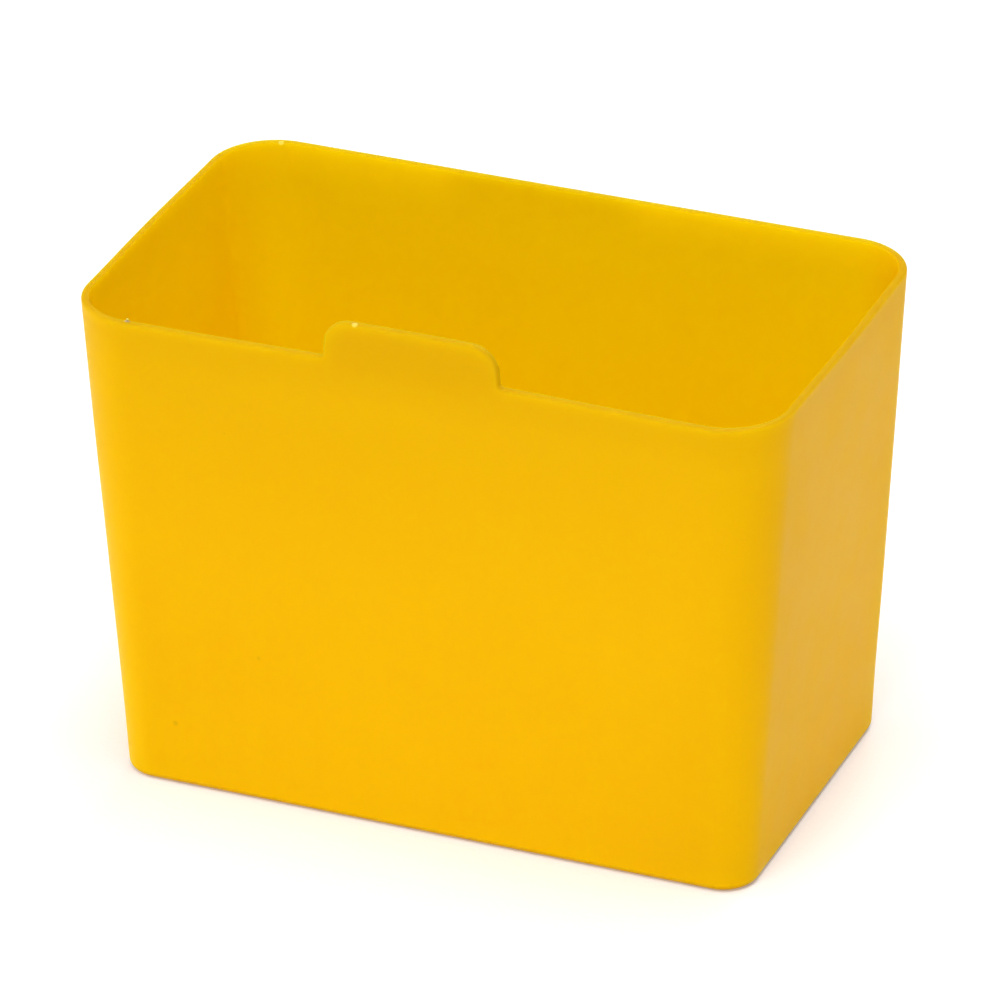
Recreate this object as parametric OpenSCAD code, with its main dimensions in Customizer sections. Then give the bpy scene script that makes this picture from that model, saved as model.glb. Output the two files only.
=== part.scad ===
// Small hanging parts bin: one thin-walled moulding, open at the top, with a
// rounded tab standing up from the middle of its front rim.
//
// Origin: middle of the base, on the surface the bin stands on.
// +Z is up, +X runs along the front wall and the front wall faces -Y.

/* [Bin] */
// Outer width of the mouth at its corners, along the front wall
rim_w = 108; // [90:1:140]
// Outer depth of the mouth at its corners, front to back
rim_d = 62.8; // [50:0.2:80]
// Height of the rim above the base, without the tab
rim_h = 76.2; // [50:0.2:110]
// How far each end wall leans in between the rim and the base
end_taper = 5.1; // [2:0.1:8]
// How far the front and the back wall each lean in
face_taper = 3.4; // [1:0.1:5]
// Outer radius of the upright corners at the rim
rim_r = 10; // [7:0.25:14]
// Outer radius of the upright corners at the base
base_r = 5.3; // [4:0.1:6]

/* [Walls] */
// Thickness of the walls and the tab
wall_t = 1.2; // [1:0.1:2]
// Thickness of the floor
floor_t = 1.5; // [1:0.1:3]
// How far the middle of the front wall is drawn in at the rim
front_bow = 0.7; // [0:0.1:2]
// How far the middle of each end wall stands out at the rim
end_bow = 0.2; // [0:0.1:1]
// Radius of the outside edge round the base
foot_r = 1.2; // [0.4:0.1:1.5]
// Radius of the inside fillet between the floor and the walls
floor_r = 0.8; // [0.4:0.1:1.5]
// Radius of the rim's outer edge
lip_outer_r = 0.5; // [0.2:0.05:0.6]
// Radius of the rim's inner edge
lip_inner_r = 0.3; // [0.1:0.05:0.4]

/* [Hanging tab] */
// Width of the tab where it leaves the rim
tab_w = 26.7; // [16:0.1:40]
// Height of the tab above the rim
tab_h = 6.1; // [5:0.1:8]
// Radius of the tab's two upper corners
tab_r = 4.1; // [3:0.1:4.5]
// Radius of the small fillets where the tab's sides meet the rim
root_r = 0.6; // [0.4:0.1:0.8]
// Angle by which each side of the tab leans in towards its top
tab_lean = 3; // [0:1:6]

/* [Hidden] */

corner_steps = 9; // facets round each upright corner
bow_steps = 6;    // facets along the front wall on each side of the tab
end_steps = 6;    // facets along each end wall
wall_steps = 3;   // facets up the height of the walls
edge_steps = 3;   // facets round the small edges and fillets
band_h = 2;       // strip below the rim in which the wall runs on into the tab

function lerp(a, b, k) = a + (b - a) * k;

// The walls lean: half width, half depth and corner radius of the outer face
// at height z
function half_w(z) = rim_w / 2 - end_taper * (1 - z / rim_h);
function half_d(z) = rim_d / 2 - face_taper * (1 - z / rim_h);
function corner_r(z) = lerp(base_r, rim_r, z / rim_h);

// The front and end walls are straight at the base and bow towards the rim,
// most at the middle of the wall, with no kink where they meet the corners.
// Along the wall, s is the distance from its middle and reach its half length
function bow(amount, s, reach, z) = amount * z / rim_h * pow(1 - pow(min(abs(s) / reach, 1), 2), 2);

// A point of the front wall, inset behind its outer face
function front_point(x, z, inset) =
    [x, bow(front_bow, x, half_w(z) - corner_r(z), z) - half_d(z) + inset, z];

// The points of an end wall between its corners; side is 1 for +X, -1 for -X
function end_run(side, z, inset) =
    let (reach = half_d(z) - corner_r(z))
    [for (i = [1:end_steps - 1])
        let (y = side * lerp(-reach, reach, i / end_steps))
        [side * (half_w(z) + bow(end_bow, y, reach, z) - inset), y, z]];

// One upright corner, for the signs sx and sy of its quadrant
function corner(sx, sy, z, inset) =
    let (r = corner_r(z), start = sy > 0 ? (sx > 0 ? 0 : 90) : (sx < 0 ? 180 : 270))
    [for (i = [0:corner_steps])
        let (a = start + 90 * i / corner_steps)
        [sx * (half_w(z) - r) + (r - inset) * cos(a), sy * (half_d(z) - r) + (r - inset) * sin(a), z]];

// The tab's free edge as [x, height above the rim, outward x, outward z]. The
// left half goes through the root fillet and round the corner to the top
root_cx = tab_w / 2 + root_r * (1 / cos(tab_lean) - tan(tab_lean));
tab_cx = tab_w / 2 - (tab_h - tab_r) * tan(tab_lean) - tab_r / cos(tab_lean);
tab_left = concat(
    [for (i = [0:edge_steps]) let (a = lerp(270, 360 - tab_lean, i / edge_steps))
        [root_r * cos(a) - root_cx, root_r * (1 + sin(a)), -cos(a), -sin(a)]],
    [for (i = [0:corner_steps]) let (a = lerp(180 - tab_lean, 90, i / corner_steps))
        [tab_r * cos(a) - tab_cx, tab_h - tab_r + tab_r * sin(a), cos(a), sin(a)]]);
tab_edge = concat(tab_left, [for (i = [len(tab_left) - 1:-1:0])
    [-tab_left[i][0], tab_left[i][1], -tab_left[i][2], tab_left[i][3]]]);
tab_last = len(tab_edge) - 1;

// The front wall's points between its corners. Below the rim they are evenly
// spaced at height z; near the free edge they follow the tab, drop inside it
function front_run(z, inset, drop) =
    let (reach = half_w(z) - corner_r(z),
         left = [for (i = [1:bow_steps]) lerp(-reach, -root_cx, i / (bow_steps + 1))],
         across = [for (i = [0:tab_last])
             drop == undef
                 ? [lerp(-root_cx, root_cx, i / tab_last), z]
                 : [tab_edge[i][0] - drop * tab_edge[i][2],
                    rim_h + tab_edge[i][1] - drop * tab_edge[i][3]]])
    concat([for (x = left) front_point(x, z, inset)],
           [for (p = across) front_point(p[0], p[1], inset)],
           [for (i = [bow_steps - 1:-1:0]) front_point(-left[i], z, inset)]);

// One closed ring of the skin, counter-clockwise seen from above. It starts and
// ends at the back wall, the only one with no points of its own, so that a cap
// fanned out from its first point has no triangle without an area
function ring(z, inset, drop) = concat(
    corner(-1, 1, z, inset), end_run(-1, z, inset), corner(-1, -1, z, inset),
    front_run(z, inset, drop),
    corner(1, -1, z, inset), end_run(1, z, inset), corner(1, 1, z, inset));

// The rings, from the base up the outside, over the rim and down the inside
foot_rings = [for (i = [edge_steps:-1:0]) let (a = 90 * i / edge_steps)
    ring(foot_r * (1 - sin(a)), foot_r * (1 - cos(a)))];
outer_rings = [for (i = [1:wall_steps]) ring(lerp(foot_r, rim_h - band_h, i / wall_steps), 0)];
lip_outer = [for (i = [0:edge_steps]) let (a = 90 * i / edge_steps, drop = lip_outer_r * (1 - sin(a)))
    ring(rim_h - drop, lip_outer_r * (1 - cos(a)), drop)];
lip_inner = [for (i = [edge_steps:-1:0]) let (a = 90 * i / edge_steps, drop = lip_inner_r * (1 - sin(a)))
    ring(rim_h - drop, wall_t - lip_inner_r * (1 - cos(a)), drop)];
inner_rings = [for (i = [wall_steps:-1:1])
    ring(lerp(floor_t + floor_r, rim_h - band_h, i / wall_steps), wall_t)];
fillet_rings = [for (i = [0:edge_steps]) let (a = 90 * i / edge_steps)
    ring(floor_t + floor_r * (1 - sin(a)), wall_t + floor_r * (1 - cos(a)))];

// A closed solid from stacked rings, with flat caps on the first and the last
module skin(rings) {
    n = len(rings[0]);
    last = len(rings) - 1;
    sides = [for (i = [0:last - 1], j = [0:n - 1])
        let (a = i * n + j, b = i * n + (j + 1) % n)
        each [[a, a + n, b + n], [a, b + n, b]]];
    base = [for (j = [0:n - 1]) j];
    floor = [for (j = [n - 1:-1:0]) last * n + j];
    polyhedron(points = [for (r = rings) each r], faces = concat([base], sides, [floor]),
               convexity = 6);
}

module bin_body() {
    color("#f2b800")
        skin(concat(foot_rings, outer_rings, lip_outer, lip_inner, inner_rings, fillet_rings));
}

bin_body();
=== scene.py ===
"""Hanging parts bin: a thin-walled yellow moulding with a tab on its front rim.

The bin stands on a plain pale floor. Its skin is lofted here from rings, finer
than the CAD solid it stands for and with the small faults of a real moulding.
Its sizes are in millimetres and the scene is in metres. +Z is up and the wall
with the tab faces -Y, as in the CAD.
"""

import math

import bmesh
import bpy
from mathutils import Matrix, Vector, noise


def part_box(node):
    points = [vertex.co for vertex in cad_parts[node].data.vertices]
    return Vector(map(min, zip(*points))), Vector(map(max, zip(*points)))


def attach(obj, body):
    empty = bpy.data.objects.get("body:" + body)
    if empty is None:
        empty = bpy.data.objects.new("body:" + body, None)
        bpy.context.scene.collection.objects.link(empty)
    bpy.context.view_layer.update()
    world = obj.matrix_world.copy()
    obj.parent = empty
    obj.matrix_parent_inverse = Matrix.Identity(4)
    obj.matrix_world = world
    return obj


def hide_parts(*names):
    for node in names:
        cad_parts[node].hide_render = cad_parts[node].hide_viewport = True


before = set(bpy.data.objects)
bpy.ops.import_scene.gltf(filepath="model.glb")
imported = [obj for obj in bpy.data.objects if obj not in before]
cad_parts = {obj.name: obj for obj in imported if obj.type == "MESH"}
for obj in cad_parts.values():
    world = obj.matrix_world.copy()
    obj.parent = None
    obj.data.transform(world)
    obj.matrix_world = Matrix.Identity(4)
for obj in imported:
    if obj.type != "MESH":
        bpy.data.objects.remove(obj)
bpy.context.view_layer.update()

MM = 0.001

# --- Driving sizes of the moulding ---------------------------------------------------

TAB_H = 6.1
END_TAPER, FACE_TAPER = 5.1, 3.4
RIM_R, BASE_R = 10.0, 5.3
WALL_T, FLOOR_T = 1.2, 1.5
FRONT_BOW, END_BOW = 0.7, 0.2
FOOT_R, FLOOR_R = 1.2, 0.8
LIP_OUTER_R, LIP_INNER_R = 0.5, 0.3
TAB_W, TAB_R, ROOT_R = 26.7, 4.1, 0.6
TAB_LEAN = math.radians(3)
BAND_H = 2.0

# The rim's sizes come from the frame: the box is widest where the rim's edge starts
# to round over, and at the middle of the end walls, which stand out a little there
node_low, node_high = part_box("bin_body")
RIM_H = (node_high.z - node_low.z) / MM - TAB_H
LIP_SHARE = LIP_OUTER_R / RIM_H
RIM_W = (node_high.x - node_low.x) / MM + 2 * (END_TAPER * LIP_SHARE - END_BOW * (1 - LIP_SHARE))
RIM_D = (node_high.y - node_low.y) / MM + 2 * FACE_TAPER * LIP_SHARE

# --- Fineness of the skin ------------------------------------------------------------

CORNER_STEPS = 26
FRONT_STEPS = 18
BACK_STEPS = 44
END_STEPS = 26
WALL_STEPS = 36
BAND_STEPS = 6
LIP_STEPS = 7
FOOT_STEPS = 8
CAP_STEPS = 9

# The walls of a moulding are never quite flat: how far they dip in, the length of a
# dip, and the height above the base at which the dips reach their full depth
WARP, WARP_LENGTH, WARP_FOOT = 0.09, 34.0, 12.0

# Gate mark under the middle of the base: a shallow dish with a cut-off stub in it. A
# slope is the width over which the side of the dish or of the stub rises
DISH_R, DISH_DEPTH, DISH_SLOPE = 3.6, 0.35, 0.9
STUB_R, STUB_H, STUB_SLOPE = 0.9, 0.22, 0.35
GATE_RADII = (9.0, 6.0, 4.4, 3.9, 3.6, 3.3, 2.9, 2.2, 1.5, 1.15, 0.95, 0.8, 0.6, 0.3)

# Small faults of the moulding, and spots of painted highlight, as places on it. The flash pip also
# has its half sizes, how lumpy it is and how much it narrows towards its top
FLASH_PIP = (-43.5, -30.2, RIM_H - 0.08)
PIP_SIZE = (0.32, 0.22, 0.40)
PIP_LUMPS, PIP_TAPER = 0.25, 0.55
# Painted highlights: pale spots on the rim that stand in for glints off small bumps
PAINTED_GLINT_SPOTS = ((-46.4, 29.8, RIM_H), (-8.3, -30.6, RIM_H + TAB_H), (-43.5, -30.4, RIM_H))
DARK_SPECKS = ((-25.4, -28.6, 24.4), (-39.2, -28.4, 10.5))


def lerp(a, b, k):
    return a + (b - a) * k


def ease(k):
    """Smooth step from 0 to 1."""
    k = min(max(k, 0.0), 1.0)
    return k * k * (3 - 2 * k)


# --- Shape of the walls, as in the CAD -----------------------------------------------

def half_w(z):
    return RIM_W / 2 - END_TAPER * (1 - z / RIM_H)


def half_d(z):
    return RIM_D / 2 - FACE_TAPER * (1 - z / RIM_H)


def corner_r(z):
    return lerp(BASE_R, RIM_R, z / RIM_H)


def bow(amount, along, reach, z):
    """How far a wall bows at a height: most at its middle, none at its corners."""
    u = min(abs(along) / reach, 1)
    return amount * z / RIM_H * (1 - u * u) ** 2


def warp(x, y, z):
    """Inward dip of the wall at a point, always 0 or more."""
    dip = noise.noise(Vector((x, 1.7 * y + 40, z)) / WARP_LENGTH)
    return WARP * ease(0.5 + dip) * ease(z / WARP_FOOT)


def skin_point(x, y, nx, ny, z, inset):
    """A point behind the outer face at (x, y), along its outward normal (nx, ny)."""
    back = inset + warp(x, y, z)
    return x - nx * back, y - ny * back, z


def tab_outline(corner_steps=18, root_steps=6, top_steps=8):
    """The tab's free edge as (x, height above the rim, outward x, outward z)."""
    root_cx = TAB_W / 2 + ROOT_R * (1 / math.cos(TAB_LEAN) - math.tan(TAB_LEAN))
    tab_cx = TAB_W / 2 - (TAB_H - TAB_R) * math.tan(TAB_LEAN) - TAB_R / math.cos(TAB_LEAN)
    left = []
    for i in range(root_steps + 1):
        a = lerp(1.5 * math.pi, 2 * math.pi - TAB_LEAN, i / root_steps)
        point = (ROOT_R * math.cos(a) - root_cx, ROOT_R * (1 + math.sin(a)))
        left.append(point + (-math.cos(a), -math.sin(a)))
    for i in range(corner_steps + 1):
        a = lerp(math.pi - TAB_LEAN, math.pi / 2, i / corner_steps)
        point = (TAB_R * math.cos(a) - tab_cx, TAB_H - TAB_R + TAB_R * math.sin(a))
        left.append(point + (math.cos(a), math.sin(a)))
    top = [(lerp(-tab_cx, tab_cx, i / top_steps), TAB_H, 0.0, 1.0) for i in range(1, top_steps)]
    right = [(-x, h, -nx, nz) for x, h, nx, nz in reversed(left)]
    return left + top + right


TAB = tab_outline()


def front_run(z, inset, drop, rise):
    """The front wall's points between its corners, at height z.

    Across the tab they are evenly spaced while rise is 0, and lie on the tab's edge,
    drop inside it, when rise is 1.
    """
    reach = half_w(z) - corner_r(z)
    root = -TAB[0][0]
    side = [lerp(-reach, -root, i / FRONT_STEPS) for i in range(1, FRONT_STEPS)]
    places = [(x, z) for x in side]
    for i, (x, h, nx, nz) in enumerate(TAB):
        even = lerp(-root, root, i / (len(TAB) - 1))
        places.append((lerp(even, x - drop * nx, rise), lerp(z, RIM_H + h - drop * nz, rise)))
    places += [(-x, z) for x in reversed(side)]
    points = []
    for x, height in places:
        y = bow(FRONT_BOW, x, half_w(height) - corner_r(height), height) - half_d(height)
        points.append(skin_point(x, y, 0, -1, height, inset))
    return points


def ring(z, inset, drop=0.0, rise=0.0):
    """One closed ring of the skin, counter-clockwise seen from above."""
    r = corner_r(z)
    cx, cy = half_w(z) - r, half_d(z) - r
    points = []

    def corner(sx, sy, start):
        for i in range(CORNER_STEPS + 1):
            a = math.radians(start) + math.pi / 2 * i / CORNER_STEPS
            nx, ny = math.cos(a), math.sin(a)
            points.append(skin_point(sx * cx + r * nx, sy * cy + r * ny, nx, ny, z, inset))

    def end(side):
        for i in range(1, END_STEPS):
            y = side * lerp(-cy, cy, i / END_STEPS)
            x = side * (half_w(z) + bow(END_BOW, y, cy, z))
            points.append(skin_point(x, y, side, 0, z, inset))

    corner(1, 1, 0)
    for i in range(1, BACK_STEPS):
        points.append(skin_point(lerp(cx, -cx, i / BACK_STEPS), half_d(z), 0, 1, z, inset))
    corner(-1, 1, 90)
    end(-1)
    corner(-1, -1, 180)
    points += front_run(z, inset, drop, rise)
    corner(1, -1, 270)
    end(1)
    return points


def quarter(steps):
    """Sine and cosine from 0 to 90 degrees."""
    return [(math.sin(a), math.cos(a)) for a in (math.pi / 2 * i / steps for i in range(steps + 1))]


def wall_rings(bottom, inset):
    """Rings up one face of the wall, from its bottom edge to just below the lip."""
    top = RIM_H - BAND_H
    rings = [ring(lerp(bottom, top, i / WALL_STEPS), inset) for i in range(1, WALL_STEPS + 1)]
    lip_r = LIP_OUTER_R if inset == 0 else LIP_INNER_R
    for i in range(1, BAND_STEPS):
        k = i / BAND_STEPS
        rings.append(ring(lerp(top, RIM_H - lip_r, k), inset, lip_r, k))
    return rings


def skin_rings():
    """All rings from the base up the outside, over the lip and down the inside.

    Each comes with how much of an edge it lies on and with 1 if it is inside the bin.
    """
    rows = []
    for s, c in reversed(quarter(FOOT_STEPS)):
        rows.append((ring(FOOT_R * (1 - s), FOOT_R * (1 - c)), 2 * s * c, 0.0))
    rows += [(points, 0.0, 0.0) for points in wall_rings(FOOT_R, 0)]
    for s, c in quarter(LIP_STEPS):
        drop = LIP_OUTER_R * (1 - s)
        rows.append((ring(RIM_H - drop, LIP_OUTER_R * (1 - c), drop, 1), s, 0.0))
    for s, c in reversed(quarter(LIP_STEPS)):
        drop = LIP_INNER_R * (1 - s)
        rows.append((ring(RIM_H - drop, WALL_T - LIP_INNER_R * (1 - c), drop, 1), s, 1.0))
    rows += [(points, 0.0, 1.0) for points in reversed(wall_rings(FLOOR_T + FLOOR_R, WALL_T))]
    for s, c in quarter(FOOT_STEPS):
        rows.append((ring(FLOOR_T + FLOOR_R * (1 - s), WALL_T + FLOOR_R * (1 - c)), 0.0, 1.0))
    return rows


def gate_height(radius):
    """Height of the underside near the gate: a dish, with the stub standing down in it."""
    dish = DISH_DEPTH * (1 - ease((radius - DISH_R) / DISH_SLOPE + 2 / 3))
    stub = STUB_H * (1 - ease((radius - STUB_R) / STUB_SLOPE + 4 / 7))
    return dish - stub


def cap_rings(edge_ring, gate):
    """Rings that close a flat face, from its edge in to small circles at its middle."""
    rings = []
    for i in range(1, CAP_STEPS + 1 + len(GATE_RADII)):
        points = []
        for x, y, z in edge_ring:
            reach = math.hypot(x, y)
            if i <= CAP_STEPS:
                radius = lerp(reach, GATE_RADII[0], i / (CAP_STEPS + 1))
            else:
                radius = GATE_RADII[i - CAP_STEPS - 1]
            height = z + (gate_height(radius) if gate else 0.0)
            points.append((x * radius / reach, y * radius / reach, height))
        rings.append(points)
    return rings


def add_pip(bm, place):
    """A crumb of flash standing on the rim: a lumpy cone, its foot sunk into the plastic."""
    made = bmesh.ops.create_icosphere(bm, subdivisions=3, radius=1.0)
    for v in made["verts"]:
        lump = 1 + PIP_LUMPS * noise.noise(v.co * 1.7)
        taper = 1 - PIP_TAPER * max(v.co.z, 0)
        shape = Vector((taper * v.co.x, taper * v.co.y, v.co.z)) * Vector(PIP_SIZE)
        v.co = (Vector(place) + shape * lump) * MM


def build_bin():
    """The whole skin as one mesh, with the marks that its material reads."""
    bm = bmesh.new()
    marks = bm.verts.layers.float
    for name in ("edge", "inside"):
        marks.new(name)
    edge_mark, inside_mark = marks["edge"], marks["inside"]
    rows = skin_rings()
    base = [(points, 0.0, 0.0) for points in reversed(cap_rings(rows[0][0], True))]
    floor = [(points, 0.0, 1.0) for points in cap_rings(rows[-1][0], False)]
    loops = []
    for points, edge, inside in base + rows + floor:
        loop = [bm.verts.new(Vector(p) * MM) for p in points]
        for v in loop:
            v[edge_mark] = edge
            v[inside_mark] = inside
        loops.append(loop)
    n = len(loops[0])
    for low, high in zip(loops, loops[1:]):
        for j in range(n):
            k = (j + 1) % n
            bm.faces.new((low[j], low[k], high[k], high[j]))
    bm.faces.new(list(reversed(loops[0])))
    bm.faces.new(loops[-1])
    add_pip(bm, FLASH_PIP)
    for f in bm.faces:
        f.smooth = True
    mesh = bpy.data.meshes.new("bin_shell")
    bm.to_mesh(mesh)
    bm.free()
    obj = bpy.data.objects.new("bin_shell", mesh)
    bpy.context.scene.collection.objects.link(obj)
    return obj


# --- Materials -----------------------------------------------------------------------

class Graph:
    """Short calls for building a node material."""

    def __init__(self, name):
        self.material = bpy.data.materials.new(name)
        self.material.use_nodes = True
        self.tree = self.material.node_tree
        self.shader = self.tree.nodes["Principled BSDF"]

    def node(self, kind, inputs, output=0, **settings):
        made = self.tree.nodes.new(kind)
        for key, value in settings.items():
            setattr(made, key, value)
        for key, value in inputs.items():
            self.put(made.inputs[key], value)
        return made.outputs[output]

    def put(self, socket, value):
        if isinstance(value, bpy.types.NodeSocket):
            self.tree.links.new(value, socket)
        else:
            socket.default_value = value

    def math(self, operation, a, b=0.0):
        return self.node("ShaderNodeMath", {0: a, 1: b}, operation=operation)

    def noise(self, where, scale, detail=2.0, rough=0.5):
        return self.node("ShaderNodeTexNoise",
                         {"Vector": where, "Scale": scale, "Detail": detail, "Roughness": rough})

    def stretch(self, where, scale, turn=(0.0, 0.0, 0.0)):
        return self.node("ShaderNodeMapping", {"Vector": where, "Scale": scale, "Rotation": turn})

    def span(self, value, low, high, to_low=0.0, to_high=1.0):
        """Map a value from one range to another, smoothly and without overshoot."""
        return self.node("ShaderNodeMapRange",
                         {"Value": value, "From Min": low, "From Max": high,
                          "To Min": to_low, "To Max": to_high}, interpolation_type="SMOOTHSTEP")

    def mix(self, share, a, b):
        return self.node("ShaderNodeMix", {0: share, 6: a, 7: b}, output=2, data_type="RGBA")

    def spot(self, where, place, size):
        """1 close to a place, falling to 0 at a distance of size from it."""
        away = self.node("ShaderNodeVectorMath", {0: where, 1: place}, output=1, operation="DISTANCE")
        return self.span(away, 0.35 * size, size, 1.0, 0.0)


# The plastic's colour, then that of its deeper patches, the painted shade of the upper walls, of the
# strip below the rim and the inner corners, and of the lip, the painted highlight of a few spots, and
# the colour of the specks
PLASTIC = (0.94, 0.464, 0.0, 1)
PLASTIC_DEEP = (0.925, 0.444, 0.0, 1)
PLASTIC_UPPER_SHADE = (0.79, 0.39, 0.0, 1)
PLASTIC_RIM_CORNER_SHADE = (0.68, 0.345, 0.0, 1)
PLASTIC_LIP = (0.44, 0.218, 0.004, 1)
PLASTIC_PAINTED_GLINT = (0.86, 0.60, 0.20, 1)
SPECK = (0.55, 0.27, 0.01, 1)

# How far red, green and blue light spreads in the plastic, as shares of a depth, and how
# little the plastic mirrors
GLOW_SPREAD = (1.2, 1.25, 0.03)
GLOW_DEPTH = 6.0
SPECULAR = 0.035

# How far from its middle a painted highlight spot or a dark speck fades out
SPOT_R = 0.6

# The studio paper's two tones, and how brightly the light table under it glows
PAPER, PAPER_LIGHT = (0.87, 0.87, 0.87, 1), (0.89, 0.89, 0.89, 1)
TABLE_GLOW = 0.2


def plastic_material():
    """Satin yellow polypropylene, in object coordinates scaled to millimetres."""
    g = Graph("satin_polypropylene")
    here = g.stretch(g.node("ShaderNodeTexCoord", {}, output=3), (1 / MM, 1 / MM, 1 / MM))

    # Colour: slow patches, and streaks up the walls where the melt flowed from the gate
    patches = g.noise(here, 0.035, 3.0)
    streaks = g.noise(g.stretch(here, (0.45, 0.45, 0.022)), 1.0, 4.0, 0.6)
    depth = g.math("ADD", g.math("MULTIPLY", patches, 0.75), g.math("MULTIPLY", streaks, 0.3))
    colour = g.mix(g.span(depth, 0.35, 0.7), PLASTIC, PLASTIC_DEEP)

    # Painted shade: the colour gets deeper up the walls and again just below the rim, most on the
    # outside, darkening the upper part where the lamps light it more
    height = g.node("ShaderNodeSeparateXYZ", {0: here}, output=2)
    inside = g.node("ShaderNodeAttribute", {}, output=2, attribute_name="inside")
    upper = g.math("MULTIPLY", g.span(height, -10.0, RIM_H + 10), g.span(inside, 0, 1, 1.0, 0.35))
    rim = g.math("MULTIPLY", g.span(height, RIM_H - 8, RIM_H + 4), g.span(inside, 0, 1, 1.0, 0.3))
    colour = g.mix(upper, colour, PLASTIC_UPPER_SHADE)
    colour = g.mix(rim, colour, PLASTIC_RIM_CORNER_SHADE)

    # Painted shade: the inner corners are darkened in colour, standing in for a dimmer glow through
    # the wall there
    x = g.math("ABSOLUTE", g.node("ShaderNodeSeparateXYZ", {0: here}, output=0))
    y = g.math("ABSOLUTE", g.node("ShaderNodeSeparateXYZ", {0: here}, output=1))
    near_end = g.span(x, RIM_W / 2 - 11, RIM_W / 2 - 4)
    near_face = g.span(y, RIM_D / 2 - 11.4, RIM_D / 2 - 4.4)
    corners = g.math("MULTIPLY", near_end, near_face)
    corners = g.math("MULTIPLY", g.math("MULTIPLY", corners, inside), 0.6)
    colour = g.mix(corners, colour, PLASTIC_RIM_CORNER_SHADE)

    # A few fine inclusions, one to a cell in only some of the cells
    cells = g.tree.nodes.new("ShaderNodeTexVoronoi")
    g.put(cells.inputs["Vector"], here)
    g.put(cells.inputs["Scale"], 0.11)
    chosen = g.span(g.node("ShaderNodeSeparateColor", {0: cells.outputs["Color"]}), 0.7, 0.72)
    dots = g.math("MULTIPLY", g.span(cells.outputs["Distance"], 0.012, 0.028, 1.0, 0.0), chosen)
    specks = g.math("MULTIPLY", dots, 0.35)
    for place in DARK_SPECKS:
        specks = g.math("MAXIMUM", specks, g.math("MULTIPLY", g.spot(here, place, SPOT_R), 0.32))
    colour = g.mix(specks, colour, SPECK)

    # Painted shade: the lip, and the middle of the rounded foot edge, get a darker colour than the
    # walls, unevenly; a few pale spots are painted highlights
    edge = g.node("ShaderNodeAttribute", {}, output=2, attribute_name="edge")
    lip_shade_and_wear = g.math("MULTIPLY", edge, g.span(g.noise(here, 0.3, 3.0), 0.3, 0.75, 0.86, 1.0))
    colour = g.mix(g.math("MULTIPLY", lip_shade_and_wear, 0.85), colour, PLASTIC_LIP)
    # Painted highlights: pale spots that stand in for glints off small bumps on the rim
    painted_glints = 0.0
    for place in PAINTED_GLINT_SPOTS:
        painted_glints = g.math("MAXIMUM", g.spot(here, place, SPOT_R), painted_glints)
    colour = g.mix(g.math("MULTIPLY", painted_glints, 0.7), colour, PLASTIC_PAINTED_GLINT)

    # Rubbed marks: short fine scratches in two directions, only in some places
    scratch = g.noise(g.stretch(here, (0.09, 0.09, 3.4), (0.0, 0.5, 0.3)), 1.0, 2.0)
    cross = g.noise(g.stretch(here, (2.8, 2.8, 0.08), (0.3, 0.35, 0.0)), 1.0, 2.0)
    rubbed = g.span(g.noise(here, 0.06, 2.0), 0.5, 0.7)
    lines = g.math("MAXIMUM", g.span(scratch, 0.66, 0.72), g.span(cross, 0.67, 0.73))
    scuffs = g.math("MULTIPLY", lines, rubbed)

    rough = g.span(g.noise(here, 0.12, 4.0), 0.25, 0.75, 0.40, 0.50)
    rough = g.math("ADD", rough, g.math("MULTIPLY", scuffs, 0.12))
    rough = g.math("ADD", rough, g.math("MULTIPLY", lip_shade_and_wear, 0.08))

    # Relief: fine spark grain of the mould, a little orange peel, and the scratches
    grain = g.noise(here, 3.2, 3.0, 0.6)
    peel = g.noise(here, 0.35, 2.0)
    relief = g.math("ADD", g.math("MULTIPLY", grain, 0.010), g.math("MULTIPLY", peel, 0.03))
    relief = g.math("SUBTRACT", relief, g.math("MULTIPLY", scuffs, 0.006))
    bump = g.node("ShaderNodeBump", {"Height": relief, "Distance": MM, "Strength": 0.8})

    g.put(g.shader.inputs["Base Color"], colour)
    g.put(g.shader.inputs["Roughness"], rough)
    g.put(g.shader.inputs["Normal"], bump)
    g.shader.inputs["Specular IOR Level"].default_value = SPECULAR
    # Thin polypropylene lets light through, which is why the inside glows
    g.shader.inputs["Subsurface Weight"].default_value = 1.0
    g.shader.inputs["Subsurface Radius"].default_value = GLOW_SPREAD
    g.shader.inputs["Subsurface Scale"].default_value = GLOW_DEPTH * MM
    return g.material


def floor_material():
    """Matt white studio paper with the faintest mottling."""
    g = Graph("studio_paper")
    where = g.node("ShaderNodeTexCoord", {}, output=3)
    tone = g.span(g.noise(where, 9.0, 3.0), 0.3, 0.7)
    g.put(g.shader.inputs["Base Color"], g.mix(tone, PAPER, PAPER_LIGHT))
    g.put(g.shader.inputs["Roughness"], g.span(tone, 0.0, 1.0, 0.85, 0.95))
    fibres = g.noise(where, 900.0, 2.0)
    bump = g.node("ShaderNodeBump", {"Height": fibres, "Distance": 0.05 * MM})
    g.put(g.shader.inputs["Normal"], bump)
    g.shader.inputs["Specular IOR Level"].default_value = 0.1
    # The paper lies on a light table, which fills in the shadow round the base
    g.shader.inputs["Emission Color"].default_value = (1, 1, 1, 1)
    g.shader.inputs["Emission Strength"].default_value = TABLE_GLOW
    return g.material


# --- Studio --------------------------------------------------------------------------

# What the camera looks at, where it stands from there in degrees and metres, and its lens
# and sensor in millimetres
AIM = Vector((0.538, -0.549, 40.951)) * MM
CAMERA_AZIMUTH, CAMERA_ELEVATION, CAMERA_ROLL = 22.933, 28.497, -0.857
CAMERA_DISTANCE = 1.19975
CAMERA_LENS, CAMERA_SENSOR = 299.73, 36

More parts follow.
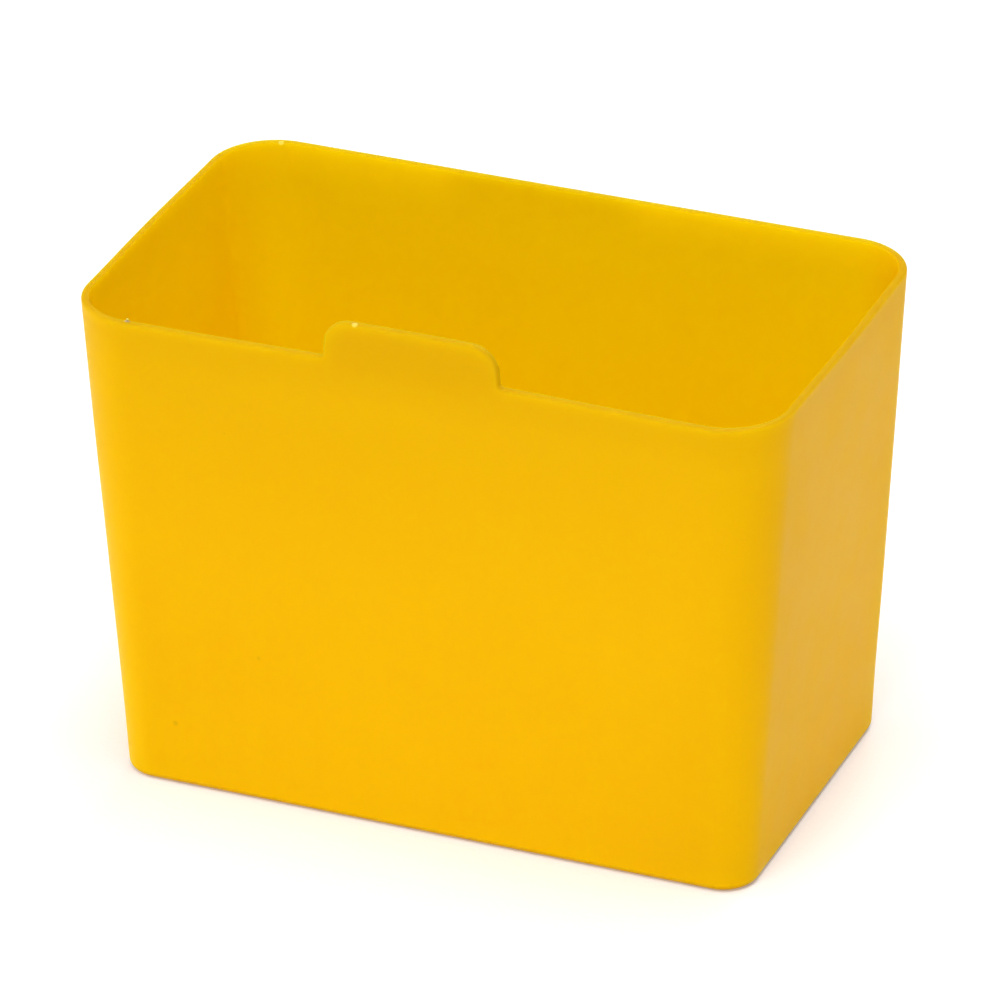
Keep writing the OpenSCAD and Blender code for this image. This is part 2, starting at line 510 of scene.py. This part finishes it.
# Round white softboxes: name, azimuth, elevation, metres away, metres across, watts
SOFTBOXES = (
    ("overhead", 90, 82, 1.1, 0.8, 7.2),
    ("front_key", 5, 4.5, 1.2, 0.10, 2.8),
    ("left_side", -84, 20, 1.4, 0.8, 5.5),
    ("back_high", 178, 45, 1.4, 0.8, 5.2),
    ("top_front", 0, 60, 1.4, 0.8, 6.6),
)
LIGHT_AIM = Vector((0, 0, 50)) * MM
FILL_STRENGTH = 0.2
TABLE_R = 0.85


def direction(azimuth, elevation):
    """Unit vector from the bin; azimuth 0 is straight out from the front wall."""
    a, e = math.radians(azimuth), math.radians(elevation)
    return Vector((math.sin(a) * math.cos(e), -math.cos(a) * math.cos(e), math.sin(e)))


def add_floor():
    """A round white table top, which fills the picture at the photo's angle."""
    bm = bmesh.new()
    bmesh.ops.create_circle(bm, cap_ends=True, segments=96, radius=TABLE_R)
    mesh = bpy.data.meshes.new("studio_floor")
    bm.to_mesh(mesh)
    bm.free()
    floor = bpy.data.objects.new("studio_floor", mesh)
    floor.data.materials.append(floor_material())
    bpy.context.scene.collection.objects.link(floor)


def add_softbox(name, azimuth, elevation, distance, size, watts):
    """A round area light that faces the bin and that the camera doesn't see."""
    light = bpy.data.lights.new(name, "AREA")
    light.shape = "DISK"
    light.size = size
    light.energy = watts
    box = bpy.data.objects.new(name, light)
    away = direction(azimuth, elevation)
    box.location = LIGHT_AIM + away * distance
    box.rotation_euler = away.to_track_quat("Z", "Y").to_euler()
    box.visible_camera = False
    bpy.context.scene.collection.objects.link(box)


def add_world():
    """White all round behind the table, though it lights the bin only softly."""
    world = bpy.data.worlds.new("studio")
    world.use_nodes = True
    tree = world.node_tree
    fill = tree.nodes["Background"]
    fill.inputs["Color"].default_value = (1, 1, 1, 1)
    fill.inputs["Strength"].default_value = FILL_STRENGTH
    backdrop = tree.nodes.new("ShaderNodeBackground")
    backdrop.inputs["Color"].default_value = (1, 1, 1, 1)
    seen = tree.nodes.new("ShaderNodeLightPath")
    both = tree.nodes.new("ShaderNodeMixShader")
    tree.links.new(seen.outputs["Is Camera Ray"], both.inputs[0])
    tree.links.new(fill.outputs[0], both.inputs[1])
    tree.links.new(backdrop.outputs[0], both.inputs[2])
    tree.links.new(both.outputs[0], tree.nodes["World Output"].inputs["Surface"])
    bpy.context.scene.world = world


def place_camera():
    """The camera at the photo's angle; roll turns it about its own line of sight."""
    back = direction(CAMERA_AZIMUTH, CAMERA_ELEVATION)
    turn, roll = math.radians(CAMERA_AZIMUTH), math.radians(CAMERA_ROLL)
    right = Vector((math.cos(turn), math.sin(turn), 0))
    up = back.cross(right)
    c, s = math.cos(roll), math.sin(roll)
    right, up = right * c + up * s, up * c - right * s
    data = bpy.data.cameras.new("camera")
    data.sensor_width = CAMERA_SENSOR
    data.lens = CAMERA_LENS
    data.clip_end = 20
    camera = bpy.data.objects.new("camera", data)
    camera.matrix_world = Matrix((right, up, back)).transposed().to_4x4()
    camera.location = AIM + back * CAMERA_DISTANCE
    bpy.context.scene.collection.objects.link(camera)
    bpy.context.scene.camera = camera


shell = build_bin()
shell.data.materials.append(plastic_material())
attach(shell, "root")
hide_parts("bin_body")

add_floor()
add_world()
for softbox in SOFTBOXES:
    add_softbox(*softbox)
place_camera()
bpy.context.scene.view_settings.view_transform = "Standard"
